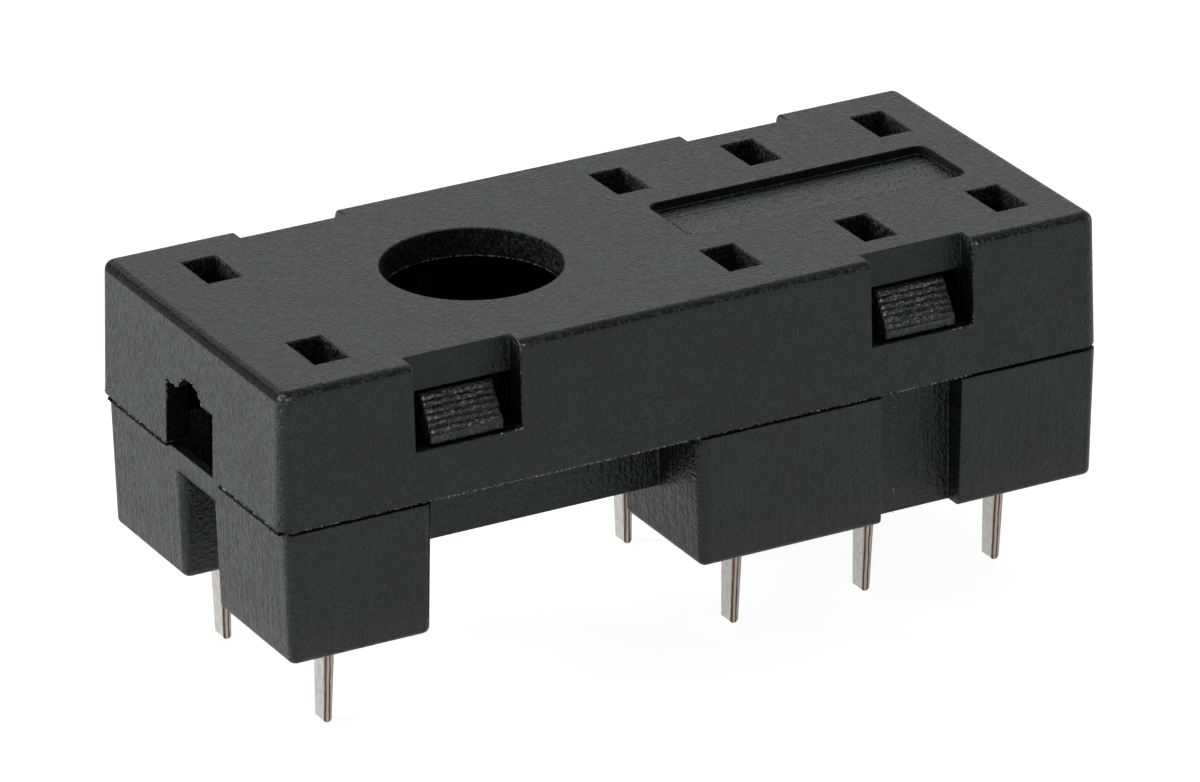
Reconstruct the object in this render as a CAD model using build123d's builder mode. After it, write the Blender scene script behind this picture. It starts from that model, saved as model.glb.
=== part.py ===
from build123d import *
import os

os.makedirs("parts", exist_ok=True)

# Relay socket for a printed circuit board, in millimetres.
# X runs along the socket, Y across it, Z is up and is zero at the tips of the solder pins.

# Heights
pin_length = 3.6
base_height = 4.7
cover_height = 4.7
seat_z = pin_length
parting_z = seat_z + base_height
top_z = parting_z + cover_height

# Positions of the contacts, which follow the standard relay footprint
contact_pitch = 5.0
coil_to_contact = 15.0
row_spacing = 7.5
coil_end_margin = 2.8
contact_end_margin = 2.3
footprint_length = coil_to_contact + 2 * contact_pitch
cover_length = coil_end_margin + footprint_length + contact_end_margin
coil_x = coil_end_margin - cover_length / 2
row_y = row_spacing / 2
first_contact_x = coil_x + coil_to_contact
contact_xs = [coil_x] + [first_contact_x + step * contact_pitch for step in range(3)]
contact_points = [(x, side * row_y) for x in contact_xs for side in (-1, 1)]

# Cover
row_to_side = 2.8
cover_width = row_spacing + 2 * row_to_side
cover_draft = 1.6
cover_corner_radius = 0.5
cover_edge_radius = 0.34
rim_edge_chamfer = 0.05
cover_wall = 0.85
cover_top_thickness = 1.0
ceiling_z = top_z - cover_top_thickness

# Openings in the top of the cover
terminal_slot_x = 1.2
terminal_slot_y = 2.0
round_hole_radius = 3.0
round_hole_x = (coil_x + first_contact_x) / 2
label_length = 10.5
label_width = 2.95
label_depth = 0.3
label_corner_radius = 0.4
label_x = first_contact_x + contact_pitch

# Snap windows in the long sides of the cover
snap_end_distance = 6.72
snap_x = cover_length / 2 - snap_end_distance
snap_width = 3.8
notch_depth = 0.87
notch_floor_y = cover_width / 2 - notch_depth
notch_wall = 0.75
window_top_drop = 1.25
sill_drop = 2.95
window_top_z = top_z - window_top_drop
sill_z = top_z - sill_drop

# Clip openings in the ends
clip_width = 3.3
clip_top_drop = 2.45
clip_bore_drop = 2.85
clip_top_z = top_z - clip_top_drop
clip_bore_z = top_z - clip_bore_drop
clip_bore_radius = 0.95
clip_wall = 0.7
clip_wall_width = 4.4
clip_wall_inset = 2.2
clip_wall_x = cover_length / 2 - clip_wall_inset
clip_pin_radius = 0.8

# Partition ribs under the ceiling of the cover
rib_thickness = 0.7
first_rib_inset = 2.75
first_rib_x = first_contact_x - first_rib_inset
rib_xs = [first_rib_x, first_contact_x + contact_pitch / 2, first_contact_x + 1.5 * contact_pitch]
rib_inner_y = 1.6

# Screen walls between the hollow under the round hole and the snap windows
screen_thickness = 0.6
screen_y = 4.3
screen_start_inset = 1.55
screen_left = coil_x + screen_start_inset

# Base
base_step_x = 0.1
base_step_y = 0.05
base_length = cover_length - 2 * base_step_x
base_width = cover_width - 2 * base_step_y
base_draft = 1.5
base_shift_x = 0.1
foot_corner_radius = 0.4
foot_top_chamfer = 0.04
parting_gap = 0.12
foot_top_z = parting_z - parting_gap
foot_bottom_radius = 0.22
foot_length = 5.25
channel_width = 2.1
end_plate_height = 0.9
end_plate_overlap = 0.6
base_left = base_shift_x - base_length / 2
base_right = base_shift_x + base_length / 2
block_margin = 2.75
block_left = first_contact_x - block_margin
core_width = 7.4
core_height = 2.8
core_wall = 0.9
core_floor = 1.1
recess_width = 2.95
recess_depth = 0.82

# Spigot of the base that locates the cover
spigot_clearance = 0.05
spigot_rise = 0.9
spigot_drop = 0.45
spigot_top_z = parting_z + spigot_rise
spigot_length = cover_length - 2 * (cover_wall + spigot_clearance)
spigot_width = cover_width - 2 * (cover_wall + spigot_clearance)
clip_pocket_width = 3.7
clip_pocket_depth = 1.0
clip_pocket_drop = 1.3
clip_lip = 0.35

# Contact chambers in the base
chamber_x = 2.1
chamber_y = 1.5
chimney_wall_x = 0.3
chimney_wall_y = 0.35
chimney_top_z = ceiling_z - 0.2
chamber_floor_z = seat_z + 1.2

# Snap hooks of the base
hook_width = 2.6
arm_clearance = 0.08
arm_outer_y = notch_floor_y - arm_clearance
arm_thickness = 0.7
arm_tip_z = window_top_z - 0.15
hook_reach = 0.76
hook_lip = 0.3
catch_clearance = 0.08
catch_z = sill_z + catch_clearance
hook_rib_count = 6
hook_rib_inset = 0.15
hook_rib_pitch = 0.22
hook_rib_radius = 0.07

# Stamped contacts
strip_thickness = 0.42
leaf_width = 1.35
tail_width = 0.71
tail_straight = 0.5
tail_tip_thickness = 0.3
tail_tip_width = 0.59
tip_flat = 0.02
tip_radius = (tail_tip_thickness - tip_flat) / 2
tail_slot_clearance_x = 0.15
tail_slot_clearance_y = 0.1
tail_slot_x = strip_thickness + 2 * tail_slot_clearance_x
tail_slot_y = tail_width + 2 * tail_slot_clearance_y
bend_radius = 0.32
leaf_x = 0.73
pinch_x = 0.31
flare_x = 0.66
straight_top_z = 7.6
pinch_z = 10.5
flare_z = 11.35
wrap_bottom_z = 5.9
wrap_top_z = 7.4
wrap_thickness = 0.3
front_tail_lean = 0.2
back_tail_lean = 0.1


# Cover: drafted shell with a rounded top edge
with BuildPart() as cover:
    with BuildSketch(Plane.XY.offset(parting_z)):
        RectangleRounded(cover_length, cover_width, cover_corner_radius)
    extrude(amount=cover_height, taper=cover_draft)
    fillet(cover.faces().sort_by(Axis.Z)[-1].edges(), cover_edge_radius)
    chamfer(cover.faces().sort_by(Axis.Z)[0].edges(), rim_edge_chamfer)

    # Inside of the shell, open at the rim
    with BuildSketch(Plane.XY.offset(parting_z)):
        Rectangle(cover_length - 2 * cover_wall, cover_width - 2 * cover_wall)
    extrude(amount=cover_height - cover_top_thickness, mode=Mode.SUBTRACT)

    # Set-back walls behind the notches, from the ceiling down to the windows
    with BuildSketch(Plane.XY.offset(top_z - cover_top_thickness / 2)):
        for side in (-1, 1):
            with Locations((-snap_x, side * (notch_floor_y - notch_wall / 2)),
                           (snap_x, side * (notch_floor_y - notch_wall / 2))):
                Rectangle(snap_width + 2 * notch_wall, notch_wall)
    extrude(amount=-(top_z - cover_top_thickness / 2 - window_top_z))

    # Cheeks that close the gap between each notch and the long wall
    with BuildSketch(Plane.XY.offset(top_z - cover_top_thickness / 2)):
        for side in (-1, 1):
            for end in (-1, 1):
                for edge in (-1, 1):
                    cheek_x = end * snap_x + edge * (snap_width + notch_wall) / 2
                    with Locations((cheek_x, side * notch_floor_y)):
                        Rectangle(notch_wall, 2 * notch_wall)
    extrude(amount=-(top_z - cover_top_thickness / 2 - window_top_z))

    # Partition ribs between the poles
    with BuildSketch(Plane.XY.offset(ceiling_z + 0.2)):
        for side in (-1, 1):
            for rib_x in rib_xs:
                rib_outer_y = spigot_width / 2 - 0.1
                with Locations((rib_x, side * (rib_inner_y + rib_outer_y) / 2)):
                    Rectangle(rib_thickness, rib_outer_y - rib_inner_y)
    extrude(amount=-(ceiling_z - spigot_top_z))

    # Screen walls beside the round hole, which run into the first rib
    with BuildSketch(Plane.XY.offset(ceiling_z + 0.2)):
        screen_x = (screen_left + first_rib_x) / 2
        with Locations((screen_x, -screen_y), (screen_x, screen_y)):
            Rectangle(first_rib_x - screen_left, screen_thickness)
    extrude(amount=-(ceiling_z - spigot_top_z))

    # Inner walls that take the pins of the holding clip and rest on the spigot
    with BuildSketch(Plane.XY.offset(ceiling_z + 0.2)):
        with Locations((-clip_wall_x, 0), (clip_wall_x, 0)):
            Rectangle(clip_wall, clip_wall_width)
    extrude(amount=-(ceiling_z + 0.2 - spigot_top_z))

    # Notches from the top face down to the windows, then the windows down to the sill
    with BuildSketch(Plane.XY.offset(top_z + 1)):
        for side in (-1, 1):
            with Locations((-snap_x, side * (notch_floor_y + 1)), (snap_x, side * (notch_floor_y + 1))):
                Rectangle(snap_width, 2)
    extrude(amount=-(top_z + 1 - sill_z), mode=Mode.SUBTRACT)
    with BuildSketch(Plane.XY.offset(window_top_z)):
        for side in (-1, 1):
            with Locations((-snap_x, side * (notch_floor_y - notch_wall / 2)),
                           (snap_x, side * (notch_floor_y - notch_wall / 2))):
                Rectangle(snap_width, 2 * notch_wall)
    extrude(amount=-(window_top_z - sill_z), mode=Mode.SUBTRACT)

    # Terminal slots and the round hole
    with BuildSketch(Plane.XY.offset(top_z)):
        with Locations(*contact_points):
            Rectangle(terminal_slot_x, terminal_slot_y)
        with Locations((round_hole_x, 0)):
            Circle(round_hole_radius)
    extrude(amount=-cover_top_thickness, mode=Mode.SUBTRACT)

    # Shallow field for the label
    with BuildSketch(Plane.XY.offset(top_z)):
        with Locations((label_x, 0)):
            RectangleRounded(label_length, label_width, label_corner_radius)
    extrude(amount=-label_depth, mode=Mode.SUBTRACT)

    # Clip openings in both ends, each with the upper part of a round bore
    for end in (-1, 1):
        with BuildSketch(Plane.YZ.offset(end * (cover_length / 2 - cover_wall - 0.1))):
            with Locations((0, (parting_z + clip_top_z) / 2)):
                Rectangle(clip_width, clip_top_z - parting_z)
            with Locations((0, clip_bore_z)):
                Circle(clip_bore_radius)
        extrude(amount=end * 2 * cover_wall, mode=Mode.SUBTRACT)
        with BuildSketch(Plane.YZ.offset(end * (clip_wall_x - clip_wall))):
            with Locations((0, clip_bore_z)):
                Circle(clip_pin_radius)
        extrude(amount=end * 2 * clip_wall, mode=Mode.SUBTRACT)
cover.part.label = "cover"
export_step(cover.part, "parts/cover.step")


# Base: feet that stand on the board, joined by a core and a spigot plate
with BuildPart() as base:
    foot_width = (base_width - channel_width) / 2
    foot_y = (base_width + channel_width) / 4
    with BuildSketch(Plane.XY.offset(foot_top_z)):
        for side in (-1, 1):
            with Locations((base_left + foot_length / 2, side * foot_y)):
                RectangleRounded(foot_length, foot_width, foot_corner_radius)
            with Locations(((block_left + base_right) / 2, side * foot_y)):
                RectangleRounded(base_right - block_left, foot_width, foot_corner_radius)
    extrude(amount=-(foot_top_z - seat_z), taper=base_draft)
    chamfer(base.faces().filter_by(Axis.Z).sort_by(Axis.Z)[-4:].edges(), foot_top_chamfer)
    fillet(base.faces().filter_by(Axis.Z).sort_by(Axis.Z)[:4].edges(), foot_bottom_radius)

    # Recess in each long side of the block, under the snap hook
    with BuildSketch(Plane.XY.offset(parting_z)):
        with Locations((snap_x, -base_width / 2), (snap_x, base_width / 2)):
            Rectangle(recess_width, 2 * recess_depth)
    extrude(amount=-base_height, mode=Mode.SUBTRACT)

    # End plates that bridge the channel between the feet
    with BuildSketch(Plane.XY.offset(foot_top_z)):
        with Locations((base_left + foot_length / 2, 0)):
            Rectangle(foot_length, channel_width + 2 * end_plate_overlap)
        with Locations(((block_left + base_right) / 2, 0)):
            Rectangle(base_right - block_left, channel_width + 2 * end_plate_overlap)
    extrude(amount=-(end_plate_height - parting_gap), taper=base_draft)

    # Core between the feet, cored out from below
    with BuildSketch(Plane.XY.offset(parting_z)):
        with Locations(((base_left + foot_length + block_left) / 2, 0)):
            Rectangle(block_left - base_left - foot_length + 1.0, core_width)
    extrude(amount=-core_height)
    with BuildSketch(Plane.XY.offset(parting_z - core_height)):
        with Locations(((base_left + foot_length + block_left) / 2, 0)):
            Rectangle(block_left - base_left - foot_length - 2 * core_wall, core_width - 2 * core_wall)
    extrude(amount=core_height - core_floor, mode=Mode.SUBTRACT, taper=base_draft)

    # Spigot plate inside the cover
    with BuildSketch(Plane.XY.offset(parting_z - spigot_drop)):
        Rectangle(spigot_length, spigot_width)
    extrude(amount=spigot_drop + spigot_rise)

    # Chimneys round the contacts
    with BuildSketch(Plane.XY.offset(parting_z)):
        with Locations(*contact_points):
            Rectangle(chamber_x + 2 * chimney_wall_x, chamber_y + 2 * chimney_wall_y)
    extrude(amount=chimney_top_z - parting_z)

    # Snap arms with ribbed hooks
    slope_height = arm_tip_z - catch_z - hook_lip
    slope_length = (slope_height ** 2 + hook_reach ** 2) ** 0.5
    hook_outer_y = arm_outer_y + hook_reach
    arm_inner_y = arm_outer_y - arm_thickness
    for hook_x in (-snap_x, snap_x):
        for side in (-1, 1):
            with BuildSketch(Plane.YZ.offset(hook_x)):
                with BuildLine():
                    Polyline(
                        (side * arm_inner_y, parting_z),
                        (side * arm_inner_y, arm_tip_z),
                        (side * arm_outer_y, arm_tip_z),
                        (side * hook_outer_y, catch_z + hook_lip),
                        (side * hook_outer_y, catch_z),
                        (side * arm_outer_y, catch_z),
                        (side * arm_outer_y, parting_z),
                        close=True,
                    )
                make_face()
            extrude(amount=hook_width / 2, both=True)
            with BuildSketch(Plane.YZ.offset(hook_x)):
                for step in range(hook_rib_count):
                    along = (hook_rib_inset + step * hook_rib_pitch) / slope_length
                    rib_y = arm_outer_y + along * hook_reach
                    rib_z = arm_tip_z - along * slope_height
                    with Locations((side * rib_y, rib_z)):
                        Circle(hook_rib_radius)
            extrude(amount=hook_width / 2 - hook_rib_radius, both=True)

    # Clip pockets behind a thin lip at each end
    with BuildSketch(Plane.XY.offset(spigot_top_z)):
        for outer_x, inner_x in (
            (base_left + clip_lip, clip_pocket_depth - spigot_length / 2),
            (base_right - clip_lip, spigot_length / 2 - clip_pocket_depth),
        ):
            with Locations(((outer_x + inner_x) / 2, 0)):
                Rectangle(abs(outer_x - inner_x), clip_pocket_width)
    extrude(amount=-(spigot_rise + clip_pocket_drop), mode=Mode.SUBTRACT)

    # Contact chambers, open at the top, with a slot for the tail at the bottom
    with BuildSketch(Plane.XY.offset(chamber_floor_z)):
        with Locations(*contact_points):
            Rectangle(chamber_x, chamber_y)
    extrude(amount=chimney_top_z - chamber_floor_z, mode=Mode.SUBTRACT)
    with BuildSketch(Plane.XY.offset(seat_z)):
        with Locations(*contact_points):
            Rectangle(tail_slot_x, tail_slot_y)
    extrude(amount=chamber_floor_z - seat_z, mode=Mode.SUBTRACT)
base.part.label = "base"
export_step(base.part, "parts/base.step")


# One stamped contact at the origin of its own hole, with its tail leaning by the given amount
def stamped_contact(lean):
    floor_z = chamber_floor_z + strip_thickness / 2
    with BuildPart() as shape:
        # Back leaf: up from the tail, across the chamber floor, then up to the pinch and the flare
        with BuildSketch(Plane.XZ):
            with BuildLine():
                FilletPolyline(
                    (0, seat_z + tail_straight),
                    (0, floor_z),
                    (-leaf_x, floor_z),
                    (-leaf_x, straight_top_z),
                    (-pinch_x, pinch_z),
                    (-flare_x, flare_z),
                    radius=bend_radius,
                )
            trace(line_width=strip_thickness)
        extrude(amount=leaf_width / 2, both=True)

        # The part that passes through the tail slot is as narrow as the tail
        with BuildSketch(Plane.XY.offset(seat_z)):
            for side in (-1, 1):
                with Locations((0, side * (tail_width / 2 + leaf_width / 2))):
                    Rectangle(2 * strip_thickness, leaf_width)
        extrude(amount=chamber_floor_z - seat_z, mode=Mode.SUBTRACT)

        # Front leaf, a mirror of the back leaf above the chamber floor
        with BuildSketch(Plane.XZ):
            with BuildLine():
                FilletPolyline(
                    (leaf_x, wrap_bottom_z),
                    (leaf_x, straight_top_z),
                    (pinch_x, pinch_z),
                    (flare_x, flare_z),
                    radius=bend_radius,
                )
            trace(line_width=strip_thickness)
        extrude(amount=leaf_width / 2, both=True)

        # Wrap that carries the front leaf round one side of the chamber
        with BuildSketch(Plane.XY.offset(wrap_bottom_z)):
            with Locations((0, leaf_width / 2 - wrap_thickness / 2)):
                Rectangle(2 * leaf_x, wrap_thickness)
        extrude(amount=wrap_top_z - wrap_bottom_z)

        # Tail: narrows from the foot to a rounded tip
        with BuildSketch(Plane.XY.offset(seat_z)):
            Rectangle(strip_thickness, tail_width)
        extrude(amount=tail_straight)
        with BuildSketch(Plane.XY.offset(seat_z)):
            Rectangle(strip_thickness, tail_width)
        with BuildSketch(Plane.XY.offset(0)):
            with Locations((0, lean)):
                Rectangle(tail_tip_thickness, tail_tip_width)
        loft()
        fillet(shape.faces().sort_by(Axis.Z)[0].edges().filter_by(Axis.Y), tip_radius)
    return shape.part


# Coil contacts
with BuildPart() as coil_contact_front:
    with Locations((coil_x, -row_y, 0)):
        add(stamped_contact(front_tail_lean))
coil_contact_front.part.label = "coil_contact_front"
export_step(coil_contact_front.part, "parts/coil_contact_front.step")

with BuildPart() as coil_contact_back:
    with Locations((coil_x, row_y, 0)):
        add(stamped_contact(-back_tail_lean))
coil_contact_back.part.label = "coil_contact_back"
export_step(coil_contact_back.part, "parts/coil_contact_back.step")

# Contacts of the front pole
with BuildPart() as front_contact_inner:
    with Locations((contact_xs[1], -row_y, 0)):
        add(stamped_contact(front_tail_lean))
front_contact_inner.part.label = "front_contact_inner"
export_step(front_contact_inner.part, "parts/front_contact_inner.step")

with BuildPart() as front_contact_middle:
    with Locations((contact_xs[2], -row_y, 0)):
        add(stamped_contact(front_tail_lean))
front_contact_middle.part.label = "front_contact_middle"
export_step(front_contact_middle.part, "parts/front_contact_middle.step")

with BuildPart() as front_contact_outer:
    with Locations((contact_xs[3], -row_y, 0)):
        add(stamped_contact(front_tail_lean))
front_contact_outer.part.label = "front_contact_outer"
export_step(front_contact_outer.part, "parts/front_contact_outer.step")

# Contacts of the back pole
with BuildPart() as back_contact_inner:
    with Locations((contact_xs[1], row_y, 0)):
        add(stamped_contact(-back_tail_lean))
back_contact_inner.part.label = "back_contact_inner"
export_step(back_contact_inner.part, "parts/back_contact_inner.step")

with BuildPart() as back_contact_middle:
    with Locations((contact_xs[2], row_y, 0)):
        add(stamped_contact(-back_tail_lean))
back_contact_middle.part.label = "back_contact_middle"
export_step(back_contact_middle.part, "parts/back_contact_middle.step")

with BuildPart() as back_contact_outer:
    with Locations((contact_xs[3], row_y, 0)):
        add(stamped_contact(-back_tail_lean))
back_contact_outer.part.label = "back_contact_outer"
export_step(back_contact_outer.part, "parts/back_contact_outer.step")
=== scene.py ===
import math
import bmesh
import bpy
from mathutils import Matrix, Vector


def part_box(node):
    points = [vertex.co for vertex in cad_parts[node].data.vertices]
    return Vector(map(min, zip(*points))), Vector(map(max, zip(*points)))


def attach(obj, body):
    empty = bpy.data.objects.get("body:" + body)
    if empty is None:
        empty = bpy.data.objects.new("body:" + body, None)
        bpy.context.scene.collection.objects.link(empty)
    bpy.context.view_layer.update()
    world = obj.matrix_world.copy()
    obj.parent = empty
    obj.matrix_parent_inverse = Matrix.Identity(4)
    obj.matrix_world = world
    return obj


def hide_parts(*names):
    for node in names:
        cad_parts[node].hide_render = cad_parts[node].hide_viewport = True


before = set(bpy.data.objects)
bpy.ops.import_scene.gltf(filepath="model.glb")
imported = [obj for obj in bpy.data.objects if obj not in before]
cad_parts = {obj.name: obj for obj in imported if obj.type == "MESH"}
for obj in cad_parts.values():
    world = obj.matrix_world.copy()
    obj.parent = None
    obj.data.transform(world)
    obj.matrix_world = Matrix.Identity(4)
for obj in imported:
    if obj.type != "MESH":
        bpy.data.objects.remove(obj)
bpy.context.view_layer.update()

# Sizes of the socket are written in millimetres, and mm turns them into Blender's metres.
mm = 0.001

# The camera on its tripod.
# It stands in front of the coil end, a little above the socket, with a long lens
# matched to the width of the photograph's frame, 1200 by 782 pixels; the render's
# own size is not set here.
photo_width_px = 1200
focal_length_px = 8658.3
sensor_width = 36.0
camera_place = Vector((-124.098, -227.814, 121.584)) * mm
camera_yaw = math.radians(28.562)
camera_pitch = math.radians(23.745)
camera_roll = math.radians(-0.560)
nearest_seen = 0.01
farthest_seen = 20.0

sight = Vector((
    math.sin(camera_yaw) * math.cos(camera_pitch),
    math.cos(camera_yaw) * math.cos(camera_pitch),
    -math.sin(camera_pitch),
))
level_right = sight.cross(Vector((0, 0, 1))).normalized()
level_up = level_right.cross(sight)
camera_right = math.cos(camera_roll) * level_right + math.sin(camera_roll) * level_up
camera_up = math.cos(camera_roll) * level_up - math.sin(camera_roll) * level_right
camera_data = bpy.data.cameras.new("product_camera")
camera_data.sensor_width = sensor_width
camera_data.lens = focal_length_px * sensor_width / photo_width_px
camera_data.clip_start = nearest_seen
camera_data.clip_end = farthest_seen
camera = bpy.data.objects.new("product_camera", camera_data)
camera.matrix_world = (
    Matrix.Translation(camera_place)
    @ Matrix((camera_right, camera_up, -sight)).transposed().to_4x4()
)
bpy.context.scene.collection.objects.link(camera)
bpy.context.scene.camera = camera
bpy.context.scene.view_settings.view_transform = "Standard"

# The photographer's table and soft boxes.
# A white sweep carries the socket on its pin tips. The main soft box stands low on the
# left, behind the coil end, a second one hangs overhead, and a weak one fills from the right.
sweep_size = 3.0
sweep_white = (0.80, 0.80, 0.80, 1.0)
sweep_glow_seen = 0.88
sweep_glow_mirrored = 0.66
room_grey = 0.20
room_mirrored = 0.80
room_seen = 1.0
plain_white = (1.0, 1.0, 1.0, 1.0)
socket_middle = (0, 0, 0.006)


def added(tree, kind, values=None, **settings):
    """Adds a node to a tree, with its settings and the values of its sockets."""
    node = tree.nodes.new(kind)
    for name, value in settings.items():
        setattr(node, name, value)
    for socket, value in (values or {}).items():
        node.inputs[socket].default_value = value
    return node


def join(tree, from_node, output, to_node, socket):
    """Links one node of a tree to the next."""
    tree.links.new(from_node.outputs[output], to_node.inputs[socket])


def sweep_paper():
    """White paper that glows a little for the camera and less in reflections."""
    paper = bpy.data.materials.new("sweep_paper")
    paper.use_nodes = True
    tree = paper.node_tree
    tree.nodes.clear()
    output = added(tree, "ShaderNodeOutputMaterial")
    total = added(tree, "ShaderNodeAddShader")
    matte = added(tree, "ShaderNodeBsdfDiffuse", {"Color": sweep_white})
    glow = added(tree, "ShaderNodeEmission", {"Color": plain_white})
    ray = added(tree, "ShaderNodeLightPath")
    mirrored = added(tree, "ShaderNodeMath", {1: sweep_glow_mirrored}, operation="MULTIPLY")
    strength = added(tree, "ShaderNodeMath", {1: sweep_glow_seen}, operation="MULTIPLY_ADD")
    join(tree, ray, "Is Glossy Ray", mirrored, 0)
    join(tree, ray, "Is Camera Ray", strength, 0)
    join(tree, mirrored, "Value", strength, 2)
    join(tree, strength, "Value", glow, "Strength")
    join(tree, matte, "BSDF", total, 0)
    join(tree, glow, "Emission", total, 1)
    join(tree, total, "Shader", output, "Surface")
    return paper


sweep_mesh = bpy.data.meshes.new("sweep")
sweep_mesh.from_pydata(
    [(a * sweep_size, b * sweep_size, 0) for a, b in ((-1, -1), (1, -1), (1, 1), (-1, 1))],
    [], [(0, 1, 2, 3)])
sweep = bpy.data.objects.new("sweep", sweep_mesh)
bpy.context.scene.collection.objects.link(sweep)
sweep_mesh.materials.append(sweep_paper())

room = bpy.data.worlds.new("white_room")
room.use_nodes = True
bpy.context.scene.world = room
room_tree = room.node_tree
room_tree.nodes.clear()
room_output = added(room_tree, "ShaderNodeOutputWorld")
room_mix = added(room_tree, "ShaderNodeMixShader")
room_light = added(room_tree, "ShaderNodeBackground", {"Color": plain_white})
room_white = added(
    room_tree, "ShaderNodeBackground", {"Color": plain_white, "Strength": room_seen})
room_ray = added(room_tree, "ShaderNodeLightPath")
room_level = added(room_tree, "ShaderNodeMix", {"A": room_grey, "B": room_mirrored})
join(room_tree, room_ray, "Is Glossy Ray", room_level, "Factor")
join(room_tree, room_level, "Result", room_light, "Strength")
join(room_tree, room_ray, "Is Camera Ray", room_mix, "Fac")
join(room_tree, room_light, "Background", room_mix, 1)
join(room_tree, room_white, "Background", room_mix, 2)
join(room_tree, room_mix, "Shader", room_output, "Surface")


def soft_box(name, place, width, height, power):
    """One oblong soft box, turned to face the socket."""
    box = bpy.data.lights.new(name, "AREA")
    box.shape = "RECTANGLE"
    box.size = width
    box.size_y = height
    box.energy = power
    stand = bpy.data.objects.new(name, box)
    stand.location = place
    facing = Vector(socket_middle) - Vector(place)
    stand.rotation_euler = facing.to_track_quat("-Z", "Y").to_euler()
    bpy.context.scene.collection.objects.link(stand)


soft_box("left_box", (-0.55, 0.30, 0.24), width=0.40, height=0.36, power=2.6)
soft_box("back_box", (0.28, 0.62, 0.38), width=0.50, height=0.40, power=0.25)
soft_box("right_fill", (0.50, -0.50, 0.16), width=0.20, height=0.20, power=0.03)

# The base: the lower moulding, which stands on the board and holds the contacts.
# Black glass-filled plastic out of a spark-eroded mould, matte, with drag marks where
# it slid out of the mould, and every sharp edge broken by a few hundredths of a millimetre.
same_point = 0.0005
flat_angle = math.radians(0.2)
sharp_angle = math.radians(50)
edge_break = 0.045
edge_break_steps = 2
base_black = (0.0023, 0.0041, 0.0044)
# Colour of the painted shade under the cover's rim and in the joint.
base_shade_black = (0.0030, 0.0034, 0.0034)
bared_filler = (0.30, 0.31, 0.31, 1.0)
skin_tint = (0.92, 1.0, 0.99, 1.0)
fine_grain, coarse_grain = 9500, 3800
drag_grain = 6200
cloud_size = 520
cloud_share = 0.34
tone_start, tone_end = 0.46, 0.62
darkest, lightest, lightest_allowed = 0.05, 7.5, 0.9
wear_start, wear_end = 0.50, 0.60
gloss_start, gloss_end = 0.36, 0.64
gloss_swing = 0.08
stain_brown = (0.062, 0.038, 0.022, 1.0)
stain_top, stain_bottom = 5.0, 3.9
seat_shade_z = 8.05
seat_top_z = 8.3
seat_level = 0.5
hook_foot_z = 9.7
hook_back_y = 5.5
shaded_edge_x = -9.80
shaded_edge_y = 5.9
shaded_edge_top_z = seat_shade_z + 0.2
shaded_edge_facing = 0.35


def broken_edges(node, name):
    """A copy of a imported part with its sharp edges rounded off, kept inside the part's box."""
    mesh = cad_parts[node].data.copy()
    mesh.name = name
    mesh.materials.clear()
    shape = bmesh.new()
    shape.from_mesh(mesh)
    bmesh.ops.remove_doubles(shape, verts=shape.verts, dist=same_point * mm)
    bmesh.ops.dissolve_limit(
        shape, angle_limit=flat_angle, verts=shape.verts, edges=shape.edges)
    shape.to_mesh(mesh)
    shape.free()
    for face in mesh.polygons:
        face.use_smooth = True
    mesh.set_sharp_from_angle(angle=sharp_angle)
    piece = bpy.data.objects.new(name, mesh)
    bpy.context.scene.collection.objects.link(piece)
    rounding = piece.modifiers.new("rounding", "BEVEL")
    rounding.width = edge_break * mm
    rounding.segments = edge_break_steps
    rounding.limit_method = "ANGLE"
    rounding.angle_limit = sharp_angle
    rounding.use_clamp_overlap = False
    evening = piece.modifiers.new("evening", "WEIGHTED_NORMAL")
    evening.keep_sharp = True
    ready = piece.evaluated_get(bpy.context.evaluated_depsgraph_get())
    finished = bpy.data.meshes.new_from_object(ready)
    piece.modifiers.clear()
    piece.data = finished
    finished.name = name
    low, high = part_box(node)
    for vertex in finished.vertices:
        vertex.co = [min(max(c, a), b) for c, a, b in zip(vertex.co, low, high)]
    return piece


def cloudy(tree, place, output, scale, detail, roughness=0.5):
    """A noise over the given coordinates."""
    noise = added(tree, "ShaderNodeTexNoise", {
        "Scale": scale, "Detail": detail, "Roughness": roughness})
    join(tree, place, output, noise, "Vector")
    return noise


def ramp(tree, stops):
    """A run of colours, given as pairs of place and colour."""
    colours = added(tree, "ShaderNodeValToRGB")
    elements = colours.color_ramp.elements
    for element, (at, colour) in zip(elements, stops):
        element.position = at
        element.color = colour
    for at, colour in stops[2:]:
        elements.new(at).color = colour
    return colours


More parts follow.
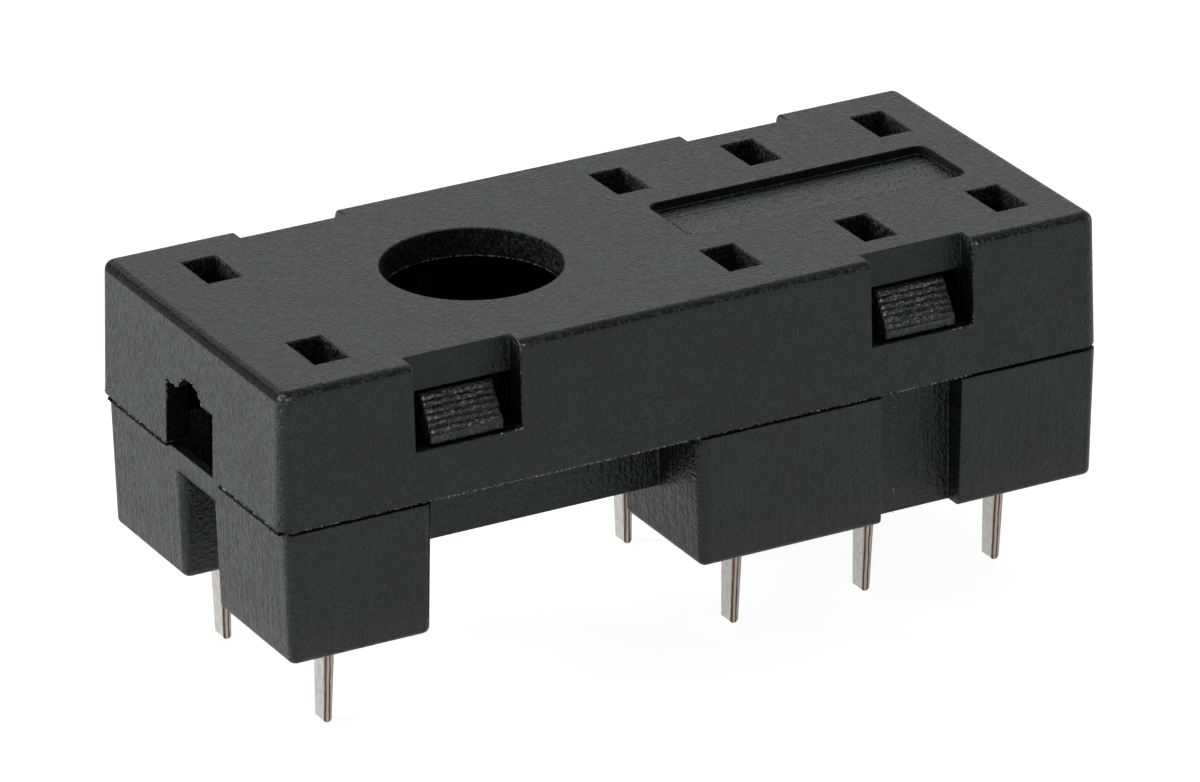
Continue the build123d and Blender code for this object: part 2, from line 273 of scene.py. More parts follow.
def moulded_plastic(
    name, colour, shine, rough, grain_depth, worn=0.0, drag_depth=0.0, stain=0.0,
    draw_scale=(1.0, 1.0, 0.07), bared=bared_filler, grain_scale=(1.0, 1.0, 1.0), swell=1.0,
):
    """Black moulded plastic: spark-eroded grain with clouded colour, drag marks along the draw,
    wear that bares patches of lighter filler, and brown handling stains low down."""
    plastic = bpy.data.materials.new(name)
    plastic.use_nodes = True
    tree = plastic.node_tree
    tree.nodes.clear()
    output = added(tree, "ShaderNodeOutputMaterial")
    skin = added(tree, "ShaderNodeBsdfPrincipled", {
        "Specular IOR Level": shine, "Specular Tint": skin_tint})
    join(tree, skin, "BSDF", output, "Surface")
    place = added(tree, "ShaderNodeTexCoord")

    # Spark-eroded grain, in two sizes
    spread = added(tree, "ShaderNodeMapping", {"Scale": grain_scale})
    join(tree, place, "Object", spread, "Vector")
    fine = cloudy(tree, spread, "Vector", fine_grain, detail=2.0, roughness=0.60)
    coarse = cloudy(tree, spread, "Vector", coarse_grain, detail=4.0, roughness=0.70)

    # Drag marks, drawn out along the opening direction of the mould
    draw = added(tree, "ShaderNodeMapping", {"Scale": draw_scale})
    join(tree, place, "Object", draw, "Vector")
    drag = cloudy(tree, draw, "Vector", drag_grain, detail=3.0)

    # Colour: specks of filler over wide clouds
    cloud = cloudy(tree, place, "Object", cloud_size, detail=5.0, roughness=0.72)
    specks = added(tree, "ShaderNodeMix", {"Factor": cloud_share})
    join(tree, fine, "Fac", specks, "A")
    join(tree, cloud, "Fac", specks, "B")
    tone = ramp(tree, (
        (tone_start, tuple(c * darkest for c in colour) + (1.0,)),
        (tone_end, tuple(min(c * lightest, lightest_allowed) for c in colour) + (1.0,))))
    join(tree, specks, "Result", tone, "Fac")

    # Wear: patches where the skin is rubbed through to the lighter filler
    rubbed = added(tree, "ShaderNodeMapRange", {
        "From Min": wear_start, "From Max": wear_end, "To Max": worn})
    join(tree, fine, "Fac", rubbed, "Value")
    skinned = added(tree, "ShaderNodeMix", {7: bared}, data_type="RGBA")
    join(tree, rubbed, "Result", skinned, 0)
    join(tree, tone, "Color", skinned, 6)

    # Stains: runs low on the walls, strongest near the foot
    low = added(tree, "ShaderNodeSeparateXYZ")
    join(tree, place, "Object", low, "Vector")
    runs = added(tree, "ShaderNodeMapRange", {
        "From Min": stain_top * mm, "From Max": stain_bottom * mm, "To Max": stain,
    }, interpolation_type="SMOOTHSTEP")
    join(tree, low, "Z", runs, "Value")
    patchy = added(tree, "ShaderNodeMath", operation="MULTIPLY")
    join(tree, runs, "Result", patchy, 0)
    join(tree, drag, "Fac", patchy, 1)
    stained = added(tree, "ShaderNodeMix", {7: stain_brown}, data_type="RGBA")
    join(tree, patchy, "Value", stained, 0)
    join(tree, skinned, 2, stained, 6)
    join(tree, stained, 2, skin, "Base Color")

    # Gloss follows the grain
    gloss = added(tree, "ShaderNodeMapRange", {
        "From Min": gloss_start, "From Max": gloss_end,
        "To Min": rough - gloss_swing, "To Max": rough + gloss_swing})
    join(tree, coarse, "Fac", gloss, "Value")
    join(tree, gloss, "Result", skin, "Roughness")

    # Height: fine grain on coarse grain, with the drag marks as deep as asked
    grain = added(tree, "ShaderNodeMath", {1: swell}, operation="MULTIPLY_ADD")
    join(tree, coarse, "Fac", grain, 0)
    join(tree, fine, "Fac", grain, 2)
    height = added(tree, "ShaderNodeMath", {1: drag_depth}, operation="MULTIPLY_ADD")
    join(tree, drag, "Fac", height, 0)
    join(tree, grain, "Value", height, 2)
    relief = added(tree, "ShaderNodeBump", {"Strength": 1.0, "Distance": grain_depth * mm})
    join(tree, height, "Value", relief, "Height")
    join(tree, relief, "Normal", skin, "Normal")
    return plastic


def dressed(piece, finishes, finish_of):
    """Gives a piece its finishes, and each face the one that finish_of names."""
    piece.data.materials.clear()
    for finish in finishes:
        piece.data.materials.append(finish)
    for face in piece.data.polygons:
        name = finish_of(face)
        if name:
            face.material_index = piece.data.materials.find(name)


def base_finish_of(face):
    """The hooks are scuffed and carry painted highlights, the near feet's inner edges get
    painted shade, and what is under the cover is dull and dark as painted shade."""
    x, y, z = (abs(c) / mm for c in face.center)
    if z > hook_foot_z and y > hook_back_y:
        return "hook_scuff_and_highlight_finish"
    left = shaded_edge_x < face.center.x / mm < 0
    if left and z < shaded_edge_top_z and face.normal.x > shaded_edge_facing and y > shaded_edge_y:
        return "base_shaded_edge"
    lying = max(abs(face.normal.x), abs(face.normal.y)) < seat_level
    if z > seat_shade_z and (z > seat_top_z or lying):
        return "base_shade_finish"
    return None


base = broken_edges("base", "base_moulding")
dressed(base, [
    moulded_plastic(
        "base_plastic_finish", base_black, shine=0.40, rough=0.34, drag_depth=0.8,
        grain_depth=0.060, stain=0.65, grain_scale=(1.0, 0.70, 1.0)),
    # A dull dark copy for the faces under the cover's rim: painted shade.
    moulded_plastic(
        "base_shade_finish", base_shade_black, shine=0.12, rough=0.55, drag_depth=0.5,
        grain_depth=0.020),
    # Scuffed hook faces, whose light specks are partly wear and partly painted highlight.
    moulded_plastic(
        "hook_scuff_and_highlight_finish", base_black, shine=0.5, rough=0.42, worn=0.30, grain_depth=0.040),
    moulded_plastic(
        "base_shaded_edge", base_black, shine=0.04, rough=0.50, grain_depth=0.020),
], base_finish_of)
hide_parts("base")
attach(base, "root")

# The thumb ribs on the four snap hooks, moulded in one with the base.
# Six half-round ribs cross each slope, and each ends towards the coil end in a bead.
# The steel behind them was cut by hand, so they come out lumpy. Thumbs scuff them, and
# their light specks and bright beads are partly that wear and partly painted highlight.
rib_count = 6
rib_radius = 0.078
rib_length = 2.16
rib_shift_x = -0.12
rib_sides = 6
rib_steps = 18
rib_lumpiness = 0.13
lump_grain = 9000
first_rib_down_slope = 0.15
rib_pitch = 0.22
rib_bead_radius = 0.105
rib_bead_spacing = 0.995 * rib_pitch  # a hair under the pitch, so the last rib keeps its bead
# Light colours of the beads and of the ribs' specks: wear and painted highlight.
bead_highlight_grey = (0.235, 0.235, 0.225)
bead_highlight_specks = (0.85, 0.84, 0.81, 1.0)
rib_wear_and_highlight_grey = (0.018, 0.019, 0.019)
rib_highlight_specks = (0.48, 0.49, 0.48, 1.0)
hook_x = 8.33
slope_top = (5.60, 11.60)
slope_foot = (6.36, 10.43)


def grown(name, tree, points, edges, settings):
    """Runs a tree of geometry nodes over bare points and edges and keeps the result as a mesh."""
    start = bpy.data.meshes.new(name)
    start.from_pydata([tuple(c * mm for c in point) for point in points], edges, [])
    piece = bpy.data.objects.new(name, start)
    bpy.context.scene.collection.objects.link(piece)
    growth = piece.modifiers.new("growth", "NODES")
    growth.node_group = tree
    for socket in tree.interface.items_tree:
        if socket.in_out == "INPUT" and socket.name in settings:
            growth[socket.identifier] = settings[socket.name]
    ready = piece.evaluated_get(bpy.context.evaluated_depsgraph_get())
    finished = bpy.data.meshes.new_from_object(ready)
    piece.modifiers.clear()
    piece.data = finished
    finished.name = name
    return piece


def new_tree(name, inputs):
    """An empty tree of geometry nodes with its named inputs; returns it and their node."""
    tree = bpy.data.node_groups.new(name, "GeometryNodeTree")
    for label, kind in inputs:
        tree.interface.new_socket(label, in_out="INPUT", socket_type="NodeSocket" + kind)
    tree.interface.new_socket("Geometry", in_out="OUTPUT", socket_type="NodeSocketGeometry")
    return tree, added(tree, "NodeGroupInput")


def end_tree(tree, given, last, output):
    """Ends a tree: its instances become real shapes and get their finish."""
    solid = added(tree, "GeometryNodeRealizeInstances")
    coated = added(tree, "GeometryNodeSetMaterial")
    result = added(tree, "NodeGroupOutput")
    join(tree, last, output, solid, "Geometry")
    join(tree, solid, "Geometry", coated, "Geometry")
    join(tree, given, "Finish", coated, "Material")
    join(tree, coated, "Geometry", result, "Geometry")


def lumpy_rods():
    """A rod along X on every point, with its surface pushed about by a noise."""
    tree, given = new_tree("lumpy_rods", (
        ("Geometry", "Geometry"), ("Length", "Float"), ("Radius", "Float"),
        ("Lumpiness", "Float"), ("Finish", "Material")))
    rod = added(tree, "GeometryNodeMeshCylinder", {
        "Vertices": rib_sides, "Side Segments": rib_steps})
    join(tree, given, "Radius", rod, "Radius")
    join(tree, given, "Length", rod, "Depth")
    laid = added(tree, "GeometryNodeTransform", {"Rotation": (0, math.pi / 2, 0)})
    join(tree, rod, "Mesh", laid, "Geometry")
    placed = added(tree, "GeometryNodeInstanceOnPoints")
    join(tree, given, "Geometry", placed, "Points")
    join(tree, laid, "Geometry", placed, "Instance")
    loose = added(tree, "GeometryNodeRealizeInstances")
    join(tree, placed, "Instances", loose, "Geometry")
    noise = added(tree, "ShaderNodeTexNoise", {"Scale": lump_grain})
    centred = added(tree, "ShaderNodeVectorMath", {1: (0.5, 0.5, 0.5)}, operation="SUBTRACT")
    join(tree, noise, "Color", centred, 0)
    push = added(tree, "ShaderNodeVectorMath", operation="SCALE")
    join(tree, centred, "Vector", push, 0)
    join(tree, given, "Lumpiness", push, "Scale")
    pushed = added(tree, "GeometryNodeSetPosition")
    join(tree, loose, "Geometry", pushed, "Geometry")
    join(tree, push, "Vector", pushed, "Offset")
    end_tree(tree, given, pushed, "Geometry")
    return tree


def bead_row():
    """Beads of uneven size and place along lines, a share of them left out."""
    tree, given = new_tree("bead_row", (
        ("Geometry", "Geometry"), ("Spacing", "Float"), ("Left out", "Float"),
        ("Radius", "Float"), ("Smallest", "Float"), ("Scatter", "Float"), ("Seed", "Int"),
        ("Finish", "Material")))
    line = added(tree, "GeometryNodeMeshToCurve")
    join(tree, given, "Geometry", line, "Mesh")
    stops = added(tree, "GeometryNodeCurveToPoints", mode="LENGTH")
    join(tree, line, "Curve", stops, "Curve")
    join(tree, given, "Spacing", stops, "Length")
    drop = added(tree, "FunctionNodeRandomValue", data_type="BOOLEAN")
    join(tree, given, "Left out", drop, "Probability")
    join(tree, given, "Seed", drop, "Seed")
    thinned = added(tree, "GeometryNodeDeleteGeometry")
    join(tree, stops, "Points", thinned, "Geometry")
    join(tree, drop, 3, thinned, "Selection")
    stray = added(
        tree, "FunctionNodeRandomValue", {0: (-1, -1, -1), 1: (1, 1, 1)},
        data_type="FLOAT_VECTOR")
    join(tree, given, "Seed", stray, "Seed")
    scatter = added(tree, "ShaderNodeVectorMath", operation="SCALE")
    join(tree, stray, 0, scatter, 0)
    join(tree, given, "Scatter", scatter, "Scale")
    strayed = added(tree, "GeometryNodeSetPosition")
    join(tree, thinned, "Geometry", strayed, "Geometry")
    join(tree, scatter, "Vector", strayed, "Offset")
    bead = added(tree, "GeometryNodeMeshIcoSphere", {"Subdivisions": 1})
    join(tree, given, "Radius", bead, "Radius")
    sizes = added(
        tree, "FunctionNodeRandomValue", {1: (1.0, 1.0, 1.0)}, data_type="FLOAT_VECTOR")
    join(tree, given, "Smallest", sizes, 0)
    join(tree, given, "Seed", sizes, "Seed")
    placed = added(tree, "GeometryNodeInstanceOnPoints")
    join(tree, strayed, "Geometry", placed, "Points")
    join(tree, bead, "Mesh", placed, "Instance")
    join(tree, sizes, 0, placed, "Scale")
    end_tree(tree, given, placed, "Instances")
    return tree


def strung(lines):
    """Points and edges of several open lines."""
    points, edges = [], []
    for line in lines:
        edges += [(len(points) + k, len(points) + k + 1) for k in range(len(line) - 1)]
        points += line
    return points, edges


bead_tree = bead_row()


def beaded(name, lines, spacing, radius, scatter, seed, finish, left_out=0.0, smallest=0.4):
    """Strings beads along lines and keeps them as one piece."""
    points, edges = strung(lines)
    piece = grown(name, bead_tree, points, edges, {
        "Spacing": spacing * mm, "Left out": left_out, "Radius": radius * mm,
        "Smallest": smallest, "Scatter": scatter * mm, "Seed": seed, "Finish": finish,
    })
    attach(piece, "root")


slope_y, slope_z = (foot - top for foot, top in zip(slope_foot, slope_top))
slope_length = math.hypot(slope_y, slope_z)
rib_centres, rib_end_lines = [], []
for x in (-hook_x, hook_x):
    for side in (-1, 1):
        ends = []
        for step in range(rib_count):
            share = (first_rib_down_slope + step * rib_pitch) / slope_length
            y, z = side * (slope_top[0] + share * slope_y), slope_top[1] + share * slope_z
            rib_centres.append((x + rib_shift_x, y, z))
            ends.append((x + rib_shift_x - rib_length / 2, y, z))
        rib_end_lines.append(ends)
hook_ribs = grown("hook_ribs", lumpy_rods(), rib_centres, [], {
    "Length": rib_length * mm, "Radius": rib_radius * mm, "Lumpiness": rib_lumpiness * mm,
    "Finish": moulded_plastic(
        "hook_rib_wear_and_highlight", rib_wear_and_highlight_grey, shine=0.5, rough=0.28, worn=0.80, grain_depth=0.040,
        bared=rib_highlight_specks),
})
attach(hook_ribs, "root")
hook_bead_highlight_finish = moulded_plastic(
    "hook_bead_highlight_finish", bead_highlight_grey, shine=0.5, rough=0.25, worn=0.9, grain_depth=0.020,
    bared=bead_highlight_specks)
beaded(
    "hook_rib_ends", rib_end_lines, rib_bead_spacing, radius=rib_bead_radius, scatter=0.012,
    seed=11, finish=hook_bead_highlight_finish, smallest=0.75)

# The eight contacts: stampings of thin brass strip, tinned, pressed into the base.
# The broad faces are rolled and tinned; the narrow faces show the sheared edge of the
# strip in stripes, where the tin is thin and the copper of the alloy comes through.
contact_pitch = 5.0
contact_centre = 2.75
strip_thickness = 0.42
tin_grain = 4200
tin_depth = 0.012
tin_tone_start, tin_tone_end = 0.34, 0.58
tin_smoothest, tin_roughest = 0.26, 0.52
narrow_start, narrow_end = 0.6, 0.8
tin_bright = (0.63, 0.61, 0.575, 1.0)
tin_dull = (0.50, 0.48, 0.45, 1.0)
sheared_dark = (0.085, 0.058, 0.045, 1.0)
sheared_copper = (0.36, 0.19, 0.115, 1.0)
sheared_light = (0.42, 0.39, 0.36, 1.0)
stripe_grain = 6000
stripe_waver = 0.22
stripe_stretch = (1.0, 1.0, 0.25)
stripe_stops = (
    (0.0, sheared_light), (1.0, sheared_copper),
    (0.26, sheared_light), (0.32, sheared_dark), (0.41, sheared_dark), (0.47, sheared_copper),
    (0.54, sheared_light), (0.66, sheared_light), (0.71, sheared_dark), (0.79, sheared_dark),
    (0.84, sheared_light), (0.96, sheared_light),
)


def tinned_strip():
    """Tinned strip: mottled broad faces, striped narrow faces."""
    tin = bpy.data.materials.new("tinned_strip_finish")
    tin.use_nodes = True
    tree = tin.node_tree
    skin = tree.nodes["Principled BSDF"]
    skin.inputs["Metallic"].default_value = 1.0
    place = added(tree, "ShaderNodeTexCoord")
    mottle = cloudy(tree, place, "Object", tin_grain, detail=5.0, roughness=0.62)
    tone = ramp(tree, ((tin_tone_start, tin_dull), (tin_tone_end, tin_bright)))
    join(tree, mottle, "Fac", tone, "Fac")

    # Place across the strip, from 0 at its left face to 1 at its right one
    along = added(tree, "ShaderNodeSeparateXYZ")
    join(tree, place, "Object", along, "Vector")
    from_centre = added(tree, "ShaderNodeMath", {1: contact_centre * mm}, operation="SUBTRACT")
    join(tree, along, "X", from_centre, 0)
    own = added(
        tree, "ShaderNodeMath", {1: contact_pitch / 2 * mm, 2: -contact_pitch / 2 * mm},
        operation="WRAP")
    join(tree, from_centre, "Value", own, 0)
    across = added(tree, "ShaderNodeMapRange", {
        "From Min": -strip_thickness / 2 * mm, "From Max": strip_thickness / 2 * mm})
    join(tree, own, "Value", across, "Value")
    stretch = added(tree, "ShaderNodeMapping", {"Scale": stripe_stretch})
    join(tree, place, "Object", stretch, "Vector")
    waver = cloudy(tree, stretch, "Vector", stripe_grain, detail=3.0)
    wavy = added(tree, "ShaderNodeMath", {1: stripe_waver}, operation="MULTIPLY_ADD")
    join(tree, waver, "Fac", wavy, 0)
    join(tree, across, "Result", wavy, 2)
    stripes = ramp(tree, stripe_stops)
    join(tree, wavy, "Value", stripes, "Fac")

    # Narrow faces look along Y
    facing = added(tree, "ShaderNodeSeparateXYZ")
    join(tree, place, "Normal", facing, "Vector")
    sideways = added(tree, "ShaderNodeMath", operation="ABSOLUTE")
    join(tree, facing, "Y", sideways, 0)
    narrow = added(tree, "ShaderNodeMapRange", {
        "From Min": narrow_start, "From Max": narrow_end})
    join(tree, sideways, "Value", narrow, "Value")
    colour = added(tree, "ShaderNodeMix", data_type="RGBA")
    join(tree, narrow, "Result", colour, 0)
    join(tree, tone, "Color", colour, 6)
    join(tree, stripes, "Color", colour, 7)
    join(tree, colour, 2, skin, "Base Color")
    gloss = added(tree, "ShaderNodeMapRange", {
        "To Min": tin_smoothest, "To Max": tin_roughest})
    join(tree, mottle, "Fac", gloss, "Value")
    join(tree, gloss, "Result", skin, "Roughness")
    relief = added(tree, "ShaderNodeBump", {"Distance": tin_depth * mm})
    join(tree, mottle, "Fac", relief, "Height")
    join(tree, relief, "Normal", skin, "Normal")
    return tin


tin = tinned_strip()
for name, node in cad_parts.items():
    if "contact" in name:
        node.data.materials.clear()
        node.data.materials.append(tin)

# The cover: the upper moulding, snapped on over the base by its four hooks.
# The same black plastic, with a finish of its own for each kind of face: the top, the
# rounded top edge, the label field, the notches, the slots and the inner walls. The slots'
# and inner walls' finishes and the lower bands of the rounded edge are dull and dark as
# painted shade, and the broken edges are lighter as wear and painted highlight.
cover_black = (0.0023, 0.0041, 0.0044)
# Colours of the painted shade inside the slots, hole and openings and on the end rounding.
cover_inner_shade_black = (0.0070, 0.0080, 0.0080)
cover_shade_black = (0.0024, 0.0026, 0.0026)
slot_wall_shade_black = (0.0066, 0.0070, 0.0069)
cover_top_z = 13.0
cover_rounding = 0.34
cover_label_depth = 0.3
cover_slot_depth = 1.05
cover_hole_x = -4.75
cover_hole_radius = 3.0
cover_inner_x = 14.3
cover_inner_y = 5.65
notch_wall_y = 5.75
slot_inner_y = 2.2
clip_opening_half_width = 2.3
clip_opening_top_z = cover_top_z - 1
rim_top_z = 8.36
level_normal = 0.999
floor_normal = 0.98
lying_normal = 0.5
leaning_normal = 0.06
corner_normal = 0.3
end_rounding_top = 0.75
side_rounding_top = 0.80
side_rounding_rubbed = 0.42
notch_wall_normal = 0.9
near_hole = 0.1
near_top = 0.01
just_under_top = 0.002
near_label_floor = 0.02
clear_of_top = 0.1


def cover_finish_of(face):
    """Names the finish of each kind of face, from the top down to the clip openings."""
    x, y, z = (abs(c) / mm for c in face.center)
    lean_x, lean_y, up = abs(face.normal.x), abs(face.normal.y), face.normal.z
    from_hole = math.hypot(face.center.x / mm - cover_hole_x, y)
    by_hole = from_hole < cover_hole_radius + near_hole
    upright = abs(up) < lying_normal
    within = x < cover_inner_x and y < cover_inner_y
    tilted = leaning_normal < abs(up) < level_normal
    if up > level_normal and z > cover_top_z - near_top:
        return "cover_top_finish"
    # The rounded top edge is split into bands by how its faces lean, each duller than the top and
    # darkest low on the ends: painted shade.
    rounded = cover_top_z - cover_rounding < z < cover_top_z - just_under_top
    if rounded and not within and tilted:
        if min(lean_x, lean_y) > corner_normal:
            return "cover_edge_wear_and_highlight"
        if lean_x > lean_y:
            return "cover_rounding_top" if up > end_rounding_top else "cover_rounding_shade_finish"
        if up > side_rounding_top:
            return "cover_rounding_top"
        return "cover_rounding_wear_and_shade" if up > side_rounding_rubbed else "cover_plastic_finish"
    # Corner faces of the rounding and the rim's broken edges are lighter, as wear and painted
    # highlight.
    if z < rim_top_z and tilted and not within:
        return "cover_edge_wear_and_highlight"
    if cover_inner_y < y < notch_wall_y and lean_y > notch_wall_normal and z > hook_foot_z:
        return "cover_notch_finish"
    off_label_floor = abs(z - cover_top_z + cover_label_depth)
    if within and not upright and off_label_floor < near_label_floor:
        return "cover_label_floor"
    # Walls of the slots, label field and hole, the inside under the top and the clip openings:
    # dull dark copies, painted shade.
    if within and z > cover_top_z - cover_slot_depth and up < floor_normal and not by_hole:
        return "cover_slot_shade_finish" if y > slot_inner_y else "cover_shade_black"
    below_label = z < cover_top_z - cover_label_depth - clear_of_top
    if within and (below_label or (upright and z < cover_top_z - clear_of_top)):
        return "cover_inner_shade_finish" if by_hole else "cover_shade_black"
    if y < clip_opening_half_width and z < clip_opening_top_z and lean_x < lying_normal:
        return "cover_shade_black"
    return None


cover = broken_edges("cover", "cover_moulding")
dressed(cover, [
    moulded_plastic(
        "cover_plastic_finish", cover_black, shine=0.40, rough=0.34, grain_depth=0.092,
        grain_scale=(1.0, 0.70, 1.0)),
    moulded_plastic(
        "cover_edge_wear_and_highlight", cover_black, shine=0.5, rough=0.40, worn=0.8, grain_depth=0.024),
    moulded_plastic(
        "cover_inner_shade_finish", cover_inner_shade_black, shine=0.19, rough=0.42, grain_depth=0.018),
    moulded_plastic(
        "cover_rounding_shade_finish", cover_shade_black, shine=0.05, rough=0.24, grain_depth=0.030),
    moulded_plastic(
        "cover_rounding_wear_and_shade", cover_black, shine=0.16, rough=0.30, worn=0.26,
        grain_depth=0.034),
    moulded_plastic(
        "cover_rounding_top", cover_black, shine=0.20, rough=0.28, grain_depth=0.040),
    moulded_plastic(
        "cover_label_floor", cover_black, shine=0.50, rough=0.22, drag_depth=1.2,
        grain_depth=0.040, draw_scale=(0.06, 1.0, 1.0)),
    moulded_plastic(
        "cover_notch_finish", cover_black, shine=0.37, rough=0.40, grain_depth=0.045),
    moulded_plastic(
        "cover_shade_black", cover_shade_black, shine=0.09, rough=0.50, grain_depth=0.024),
    moulded_plastic(
        "cover_top_finish", cover_black, shine=0.40, rough=0.34, grain_depth=0.105,
        grain_scale=(1.4, 0.80, 1.0), swell=0.4),
    moulded_plastic(
        "cover_slot_shade_finish", slot_wall_shade_black, shine=0.15, rough=0.45, worn=0.10,
        grain_depth=0.030),
], cover_finish_of)
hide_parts("cover")
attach(cover, "root")

# The flash: ragged plastic squeezed out where the parts of each mould met.
# It stands as small beads along the cover's rim and round its slots, hole, label field,
# notches and clip openings. The light beads are coloured light as painted highlight where
# the burrs catch the light; the dark beads in the joint under the rim, along the seam and
# round the slots and the label field are painted shade.
flash_highlight_grey = (0.175, 0.170, 0.162)
sill_highlight_bright = (0.235, 0.230, 0.215)
burr_shade_dark = (0.020, 0.018, 0.016)
corner_highlight_grey = (0.115, 0.115, 0.110)
flash_highlight_finish = moulded_plastic(
    "flash_highlight_finish", flash_highlight_grey, shine=0.5, rough=0.30, grain_depth=0.020)
burr_shade_finish = moulded_plastic(
    "burr_shade_finish", burr_shade_dark, shine=0.4, rough=0.40, worn=0.5, grain_depth=0.020)
bright_finish = moulded_plastic(
    "sill_highlight_bright_finish", sill_highlight_bright, shine=0.5, rough=0.25, worn=0.9, grain_depth=0.020,
    bared=bead_highlight_specks)
joint_shade_finish = moulded_plastic(
    "joint_shade_finish", base_shade_black, shine=0.05, rough=0.60, grain_depth=0.020)

# Along the rim of the cover, thickest over the core's wall, and in the joint below it.
# The edge of the middle block beside the recess has a little too.
rim_z = 8.29
rim_front_y = -6.503
rim_end_x = 15.003
rim_end_z = 8.275
core_span_x = (-9.60, -0.05)
recess_span_x = (7.40, 10.10)
foot_spans_x = ((-14.90, -9.70), (0.0, 7.25))
foot_edge_x = 7.27
foot_edge_y = -6.44
foot_edge_span_z = (3.9, 8.1)
end_span_y = (1.85, 6.15)
back_span_y = (1.85, 5.60)
joint_z = 8.15
joint_end_x = 14.92


def along_x(span, side):
    """A line along the rim, on the front side for 1 and on the back for -1."""
    return [(x, side * rim_front_y, rim_z) for x in span]


core_lines = [
    along_x(span, side) for side in (1, -1) for span in (core_span_x, recess_span_x)]
beaded(
    "core_rim_flash", core_lines, spacing=0.045, left_out=0.22, radius=0.045, scatter=0.0,
    seed=1, finish=flash_highlight_finish)
end_lines = []
for end in (-1, 1):
    for side, span in ((-1, end_span_y), (1, back_span_y)):
        end_lines.append([(end * rim_end_x, side * y, rim_end_z) for y in span])
foot_lines = [along_x(span, side) for span in foot_spans_x for side in (1, -1)]
beaded(
    "foot_rim_flash", end_lines + foot_lines, spacing=0.055, left_out=0.68, radius=0.045,
    scatter=0.004, seed=2, finish=flash_highlight_finish, smallest=0.3)
# Dark burr beads along the seam under the rim: painted shade, with light specks of wear.
beaded(
    "foot_rim_burr_shade", end_lines + foot_lines, spacing=0.040, left_out=0.40, radius=0.045,
    scatter=0.004, seed=6, finish=burr_shade_finish, smallest=0.2)
foot_edge_lines = [
    [(foot_edge_x, side * foot_edge_y, z) for z in foot_edge_span_z] for side in (1, -1)]
beaded(
    "foot_edge_flash", foot_edge_lines, spacing=0.090, left_out=0.60, radius=0.030,
    scatter=0.008, seed=7, finish=flash_highlight_finish)
joint_lines = [[(-joint_end_x, side * y, joint_z) for y in end_span_y] for side in (-1, 1)]
# Dark beads in the joint under the rim at the coil end: painted shade.
beaded(
    "joint_shade", joint_lines, spacing=0.022, left_out=0.05, radius=0.085, scatter=0.040,
    seed=3, finish=joint_shade_finish)

# Round the hole's lower rim and the eight terminal slots
hole_rim_radius = 2.99
hole_foot_z = 12.02
hole_rim_steps = 48
slot_half_x = 0.585
slot_half_y = 0.985
slot_rim_z = 12.950
slot_xs = (-12.25, 2.75, 7.75, 12.75)
slot_y = 3.75
hole_turns = [k * math.tau / hole_rim_steps for k in range(hole_rim_steps + 1)]
hole_rim = [
    (cover_hole_x + hole_rim_radius * math.cos(turn), hole_rim_radius * math.sin(turn),
     hole_foot_z) for turn in hole_turns]
beaded(
    "hole_flash", [hole_rim], spacing=0.040, left_out=0.06, radius=0.030, scatter=0.008,
    seed=8, finish=flash_highlight_finish)
slot_lines = []
for x in slot_xs:
    for side in (-1, 1):
        slot_lines.append([
            (x + a * slot_half_x, side * slot_y + b * slot_half_y, slot_rim_z)
            for a, b in ((-1, -1), (1, -1), (1, 1), (-1, 1), (-1, -1))])
# Dark burr beads round the slots' rims: painted shade.
beaded(
    "slot_burr_shade", slot_lines, spacing=0.050, left_out=0.55, radius=0.036, scatter=0.012,
    seed=4, finish=burr_shade_finish, smallest=0.2)

# On the notches' right-hand edges, sills and front corners, and on the near top corner;
# the beads on the corners and the sills are coloured light as painted highlights.
notch_jamb_x = 10.23
notch_edge_foot = (6.485, 10.10)
notch_edge_head = (6.415, 12.66)
near_corner = [(-14.78, -6.335, 12.825), (-14.58, -6.415, 12.830)]
notch_corner_span_x = (0.04, 0.16)
notch_corner_y = -6.390
notch_corner_z = 12.848
sill_length = 0.75
sill_y = 6.49
sill_left_z, sill_right_z = 10.04, 10.05
jamb_xs = (notch_jamb_x, notch_jamb_x - 2 * hook_x)
notch_lines, corner_lines, sill_lines = [], [near_corner], []
for x in jamb_xs:
    corner_lines.append([(x + a, notch_corner_y, notch_corner_z) for a in notch_corner_span_x])
    for side in (-1, 1):
        notch_lines.append([(x, side * y, z) for y, z in (notch_edge_foot, notch_edge_head)])
        sill_lines.append([
            (x - sill_length, side * sill_y, sill_left_z), (x, side * sill_y, sill_right_z)])
beaded(
    "notch_edge_flash", notch_lines, spacing=0.070, left_out=0.55, radius=0.026,
    scatter=0.010, seed=9, finish=flash_highlight_finish)
corner_highlight_finish = moulded_plastic(
    "corner_highlight_finish", corner_highlight_grey, shine=0.5, rough=0.25, grain_depth=0.010)
# Light beads on the corners: painted highlight.
beaded(
    "corner_highlight", corner_lines, spacing=0.030, radius=0.070, scatter=0.0, seed=10,
    finish=corner_highlight_finish, smallest=0.8)
# Bright beads on the sills: painted highlight.
beaded(
    "sill_highlight", sill_lines, spacing=0.035, left_out=0.20, radius=0.050, scatter=0.006,
    seed=14, finish=bright_finish)

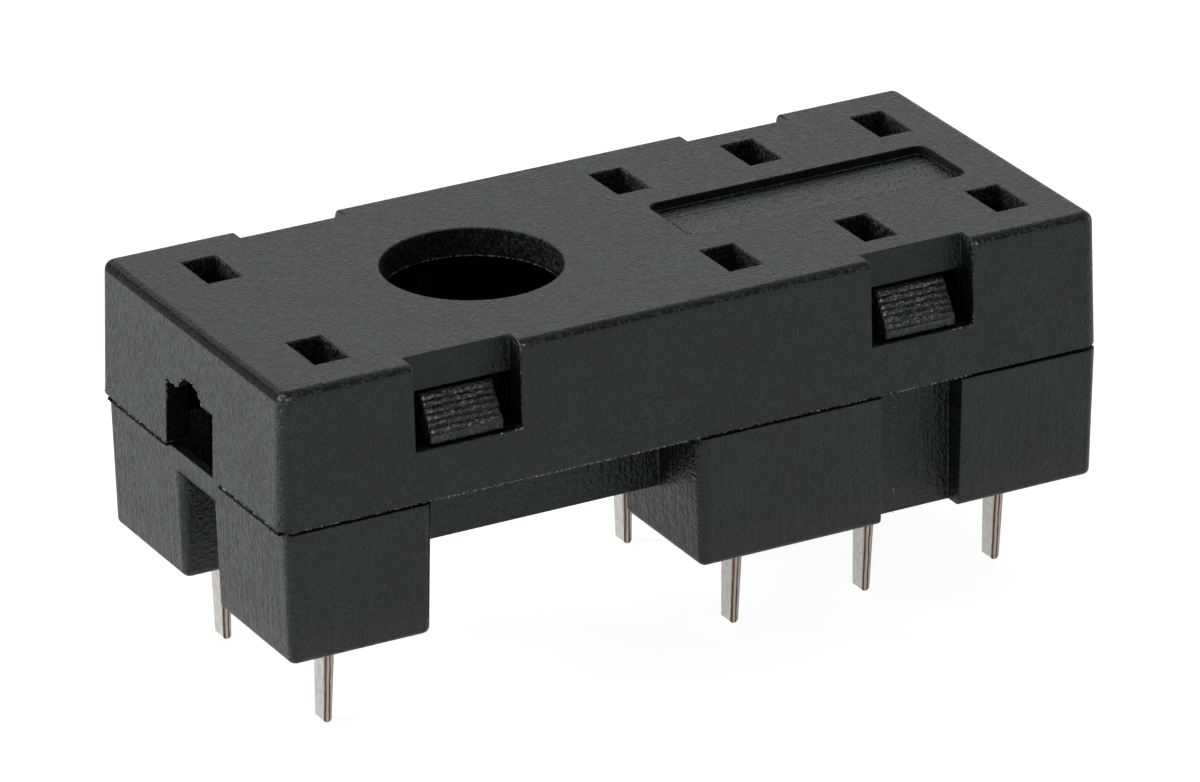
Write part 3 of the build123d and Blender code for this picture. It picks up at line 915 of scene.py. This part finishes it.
# Round the front and the ends of the label field, and along the foot of its back wall
label_left_x = 2.5
label_right_x = 13.0
label_half_y = 1.475
label_floor_z = 12.70
label_foot_gap_x = 0.4
label_foot_gap_y = 0.01
label_rim_path = (
    (0.04, 1.2), (0.04, 0.4), (0.16, 0.12), (0.4, 0.035), (10.1, 0.035), (10.34, 0.12),
    (10.46, 0.4))
label_rim = [(label_left_x + a, b - label_half_y, slot_rim_z) for a, b in label_rim_path]
# Dark beads on the front rim of the label field: painted shade at its edge.
beaded(
    "label_rim_burr_shade", [label_rim], spacing=0.045, left_out=0.15, radius=0.036, scatter=0.008,
    seed=12, finish=joint_shade_finish)
label_foot = [
    (x, label_half_y - label_foot_gap_y, label_floor_z)
    for x in (label_left_x + label_foot_gap_x, label_right_x - label_foot_gap_x)]
beaded(
    "label_flash", [label_foot, label_rim], spacing=0.110, left_out=0.62, radius=0.032,
    scatter=0.006, seed=13, finish=flash_highlight_finish)

# Round the keyhole of each clip opening, from its left foot over the arch to its right foot
opening_edge_x = 14.965
opening_half_y = 1.65
opening_shoulder_z = 10.55
opening_bore_z = 10.15
opening_bore_radius = 0.95
opening_left_foot_z = 9.9
opening_right_foot_z = 8.5
opening_arch_steps = 10
shoulder = math.asin((opening_shoulder_z - opening_bore_z) / opening_bore_radius)
opening_lines = []
for end in (-1, 1):
    edge_x = end * opening_edge_x
    arch = []
    for k in range(opening_arch_steps + 1):
        turn = shoulder + k * (math.pi - 2 * shoulder) / opening_arch_steps
        arch.append((
            edge_x, opening_bore_radius * math.cos(turn),
            opening_bore_z + opening_bore_radius * math.sin(turn)))
    opening_lines.append([
        (edge_x, opening_half_y, opening_left_foot_z),
        (edge_x, opening_half_y, opening_shoulder_z),
        *arch,
        (edge_x, -opening_half_y, opening_shoulder_z),
        (edge_x, -opening_half_y, opening_right_foot_z),
    ])
beaded(
    "opening_flash", opening_lines, spacing=0.065, left_out=0.50, radius=0.042,
    scatter=0.012, seed=5, finish=flash_highlight_finish)
